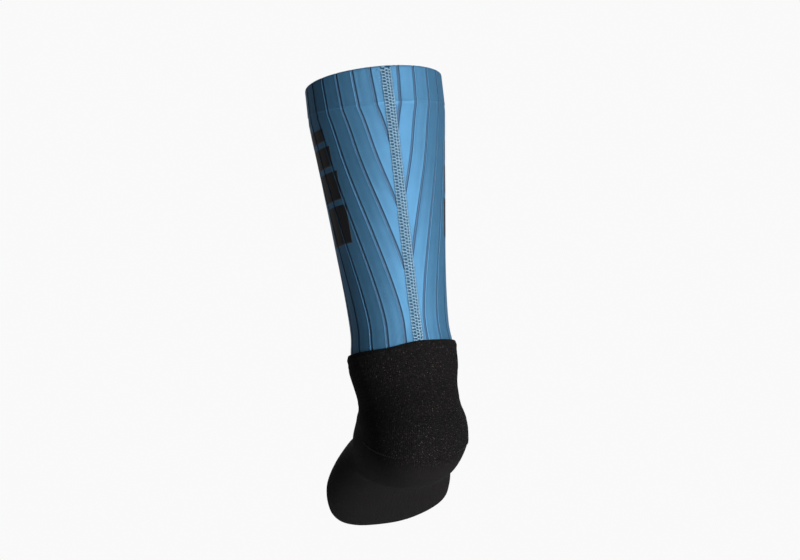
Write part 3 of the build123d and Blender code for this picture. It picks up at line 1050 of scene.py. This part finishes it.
def knit_material():
    """Black knit: looped terry with lint where the mask is 1, smooth stitches elsewhere."""
    material, tree, shader = new_material(
        "black_knit", KNIT_BLACK, Roughness=0.9, Specular_IOR_Level=0.09)
    place, across, along = cloth_place(tree)
    body = add_node(tree, "TexCoord", {}).outputs["Object"]
    terry = add_node(tree, "Attribute", {}, attribute_name="terry").outputs["Fac"]
    wales = wave(tree, across, KNIT_WALES)
    courses = wave(tree, along, KNIT_COURSES)
    stitches = maths(tree, "MULTIPLY", maths(tree, "ADD", wales, courses), 0.22)
    loops = noise_at(tree, body, 900.0, 3.0, 0.6)
    lint_noise = noise_at(tree, body, 1100.0, 1.0)
    lint = maths(tree, "MULTIPLY", stepped(tree, lint_noise, 0.66, 0.72), terry)
    grain = stepped(tree, loops, 0.3, 0.7)
    terry_tint = mixed(tree, grain, TERRY_DARK + [1], TERRY_PALE + [1])
    tint = mixed(tree, terry, SMOOTH_BLACK + [1], terry_tint)
    flecked = mixed(tree, maths(tree, "MULTIPLY", lint, LINT_SHARE), tint, LINT + [1])
    tree.links.new(flecked, shader.inputs["Base Color"])
    rough = maths(tree, "MULTIPLY", loops, maths(tree, "MULTIPLY", terry, 2.2))
    bumped(tree, shader, maths(tree, "ADD", stitches, rough), 0.3)
    return material


def paint(obj, material):
    """The object's one material."""
    obj.data.materials.clear()
    obj.data.materials.append(material)


# ---- The object ----
def place_piece(obj, body, slot, material, *nodes):
    """Colours a piece, lets it ride on a body and stand for CAD nodes."""
    paint(obj, material)
    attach(obj, body)
    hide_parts(*nodes)


aero = aero_material()
seam_thread = thread_material("seam_thread", THREAD_GREY, THREAD_PALE)
dark_thread = thread_material("dark_thread", linear(14, 13, 14), linear(24, 22, 23))
ink = ink_material()
silicone = plain_material("gripper_silicone", linear(196, 204, 208), 0.35, Coat_Weight=0.2)
film = plain_material("bond_film", linear(150, 160, 168), 0.3)
knit_black = knit_material()

upper = make_upper()
place_piece(upper, "leg", "aero_fabric", aero, "upper_panel", "cuff_hem_fold")
for label, side in (("medial", 1), ("lateral", -1)):
    for bar in make_print(side):
        place_piece(bar, "leg", "print_ink", ink, f"side_print_{label}")

needle_threads = make_needle_threads()
place_piece(needle_threads, "leg", "seam_thread", seam_thread, "back_seam_needle_threads")
cover_threads = make_cover_threads()
place_piece(cover_threads, "leg", "seam_thread", seam_thread, "back_seam_cover_threads")
thread_tail = make_thread_tail()
place_piece(thread_tail, "leg", "seam_thread", seam_thread, "back_seam_cover_threads")
pricks = make_prick_stitches()
place_piece(pricks, "leg", "seam_thread", seam_thread, "back_seam_needle_threads")
looper_threads = make_looper_threads()
place_piece(looper_threads, "leg", "seam_thread", seam_thread, "back_seam_looper_threads")
waves = make_gripper_waves()
place_piece(waves, "leg", "gripper_silicone", silicone)

knit = make_knit()
paint(knit, knit_black)
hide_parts("ankle_cuff", "ankle_flex_panel", "heel_pocket", "instep_panel",
            "sole_cushion", "toe_cap")
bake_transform(knit)

gore_medial = make_link_line("heel_gore_medial", GORE_PLACE, 298, 352)
place_piece(gore_medial, "foot", "dark_thread", dark_thread, "heel_suture_medial")
gore_lateral = make_link_line("heel_gore_lateral", GORE_PLACE, 188, 242)
place_piece(gore_lateral, "foot", "dark_thread", dark_thread, "heel_suture_lateral")
toe_line = make_link_line("toe_link_line", LINK_PLACE, 18, 162)
place_piece(toe_line, "foot", "dark_thread", dark_thread, "toe_link_seam")

kept_materials = {
    "silicone_gripper": silicone,
    "hem_bond_film": film,
    "join_seam_allowance": knit_black,
    "join_overlock_thread": dark_thread,
}
for name, material in kept_materials.items():
    paint(bpy.data.objects[name], material)


# ---- Stage ----
# Lengths are in metres from here on.
CAMERA_TARGET = Vector((0, 0, -0.138))
CAMERA_AWAY = Vector((0.1725, 0.9781, -0.1167))  # from the target to the camera
CAMERA_DISTANCE = 1.611
CAMERA_ROLL = math.radians(6.3)
CAMERA_LENS = 103.05          # mm, on a sensor 36 mm wide
CAMERA_SHIFT = 0.0065

FLOOR_SIDE = 30.0
FLOOR_NEAR = -2.5
FLOOR_FAR = 30.0
FLOOR_Z = -0.9

INNER_SIDE = (0.86, 0.5, 0.0)  # direction of the dark surroundings
PATCH_EDGE = (0.93, 0.97)     # closeness to the view's direction where the white begins
WORLD_STRENGTH = 0.95
AROUND_BACK = (0.1, 0.1, 0.11, 1)
AROUND_FRONT = (0.2, 0.2, 0.21, 1)
AROUND_INNER = (0.03, 0.03, 0.032, 1)
WHITE = (1, 1, 1, 1)


def make_floor():
    """A plain pale floor below the foot, which ends some way beyond the toes."""
    mesh = bpy.data.meshes.new("floor")
    corners = [
        (-FLOOR_SIDE, FLOOR_NEAR, FLOOR_Z),
        (FLOOR_SIDE, FLOOR_NEAR, FLOOR_Z),
        (FLOOR_SIDE, FLOOR_FAR, FLOOR_Z),
        (-FLOOR_SIDE, FLOOR_FAR, FLOOR_Z),
    ]
    mesh.from_pydata(corners, [], [(0, 1, 2, 3)])
    floor = bpy.data.objects.new("floor", mesh)
    bpy.context.scene.collection.objects.link(floor)
    material = new_material("floor_paint", linear(240, 240, 240), Roughness=0.8)[0]
    paint(floor, material)


def make_lamp(name, place, target, size, power):
    """A soft rectangular lamp."""
    lamp = bpy.data.lights.new(name, "AREA")
    lamp.shape = "RECTANGLE"
    lamp.size = size[0]
    lamp.size_y = size[1]
    lamp.energy = power
    obj = bpy.data.objects.new(name, lamp)
    obj.location = place
    aim = Vector(target) - Vector(place)
    obj.rotation_mode = "QUATERNION"
    obj.rotation_quaternion = aim.to_track_quat("-Z", "Y")
    bpy.context.scene.collection.objects.link(obj)


def dot(tree, first, second):
    """The dot product of a direction with a fixed one."""
    inputs = {0: first, 1: second}
    return add_node(tree, "VectorMath", inputs, operation="DOT_PRODUCT").outputs["Value"]


def make_world():
    """A white patch beyond the toes as the camera sees it, and dark surroundings."""
    world = bpy.data.worlds.new("studio")
    world.use_nodes = True
    tree = world.node_tree
    direction = add_node(tree, "TexCoord", {}).outputs["Generated"]
    parts = add_node(tree, "SeparateXYZ", {0: direction})
    facing = dot(tree, direction, -CAMERA_AWAY)
    rear = stepped(tree, parts.outputs[1], -0.75, 0.3)
    around = mixed(tree, rear, AROUND_FRONT, AROUND_BACK)
    inner_side = dot(tree, direction, INNER_SIDE)
    around = mixed(tree, stepped(tree, inner_side, 0.1, 0.6), around, AROUND_INNER)
    colour = mixed(tree, stepped(tree, facing, *PATCH_EDGE), around, WHITE)
    background = tree.nodes["Background"]
    tree.links.new(colour, background.inputs[0])
    background.inputs[1].default_value = WORLD_STRENGTH
    bpy.context.scene.world = world


def make_camera():
    """The camera, behind the heel and a little lower than the sole."""
    data = bpy.data.cameras.new("camera")
    data.lens = CAMERA_LENS
    data.sensor_width = 36.0
    data.shift_x = CAMERA_SHIFT
    camera = bpy.data.objects.new("camera", data)
    camera.location = CAMERA_TARGET + CAMERA_AWAY * CAMERA_DISTANCE
    turn = (-CAMERA_AWAY).to_track_quat("-Z", "Y")
    camera.rotation_mode = "QUATERNION"
    camera.rotation_quaternion = turn @ Quaternion((0, 0, 1), -CAMERA_ROLL)
    bpy.context.scene.collection.objects.link(camera)
    bpy.context.scene.camera = camera


bpy.context.scene.view_settings.view_transform = "Standard"
make_floor()
make_world()
make_lamp("key", (-0.85, 1.9, -0.3), (0, 0, -0.13), (0.35, 0.7), 68)
make_lamp("toe_side", (-0.5, -1.6, 1.6), (0, 0, -0.1), (0.8, 0.8), 22)
make_camera()
